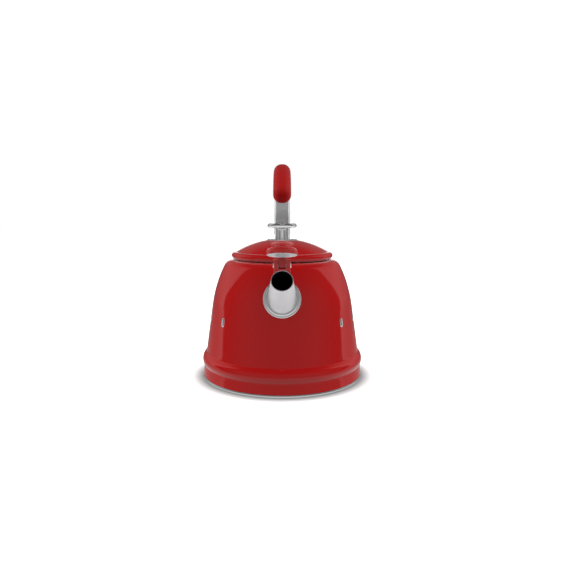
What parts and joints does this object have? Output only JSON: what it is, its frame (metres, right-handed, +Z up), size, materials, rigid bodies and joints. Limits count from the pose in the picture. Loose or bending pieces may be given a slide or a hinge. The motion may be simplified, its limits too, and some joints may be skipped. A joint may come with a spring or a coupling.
{
  "type": "stovetop whistling kettle",
  "caption": "Round stovetop kettle with a flared skirt, fixed arched handle, short steel spout with a hinged whistle cap, and a lift-off lid with a disc knob.",
  "frame": {"origin": "centre of the flat underside that rests on the hob", "axes": "+Z up, -Y toward the spout, +X to the kettle's left seen from behind the handle"},
  "size_m": [0.1888, 0.2311, 0.2481],
  "materials": {
    "red_enamel": "glossy red enamel over pressed steel",
    "foot_steel": "polished stainless steel foot ring",
    "core_aluminium": "bare aluminium",
    "hob_steel": "ground magnetic steel",
    "spout_steel": "satin polished stainless steel",
    "bright_chrome": "polished chrome",
    "bracket_red": "glossy red enamel",
    "cap_red": "glossy red enamel",
    "whistle_steel": "plain pressed steel",
    "collar_steel": "plain pressed steel",
    "silicone": "dark silicone",
    "screw_steel": "zinc plated steel",
    "arm_chrome": "polished chrome",
    "grip_soft": "satin soft touch red",
    "trim_chrome": "polished chrome"
  },
  "bodies": {
    "kettle": {"body_shell": "red_enamel", "base_pan": "foot_steel", "base_core": "core_aluminium", "base_capsule": "hob_steel", "spout_tube": "spout_steel", "spout_flange": "bright_chrome", "hinge_bracket": "bracket_red", "bracket_rivet": "screw_steel", "hinge_pin": "bright_chrome", "handle_mount": "bright_chrome", "handle_arm": "arm_chrome", "handle_rivets": "screw_steel", "handle_grip": "grip_soft", "side_trim": "trim_chrome"},
    "whistle": {"cap_cover": "cap_red", "cap_plate": "bright_chrome", "whistle_barrel": "whistle_steel", "whistle_lower_disc": "whistle_steel", "whistle_upper_disc": "whistle_steel"},
    "lid": {"lid_shell": "red_enamel", "lid_collar": "collar_steel", "lid_seal": "silicone", "knob_plate": "bright_chrome", "knob": "bright_chrome", "knob_screw": "screw_steel", "knob_washer": "screw_steel"}
  },
  "joints": [
    {"name": "lid_lift", "type": "slide", "parent": "kettle", "child": "lid", "axis": [0, 0, 1], "range_m": [0, 0.033]},
    {"name": "whistle_hinge", "type": "hinge", "parent": "kettle", "child": "whistle", "pos_m": [0, -0.10527, 0.14187], "axis": [1, 0, 0], "range_deg": [0, 73]}
  ]
}
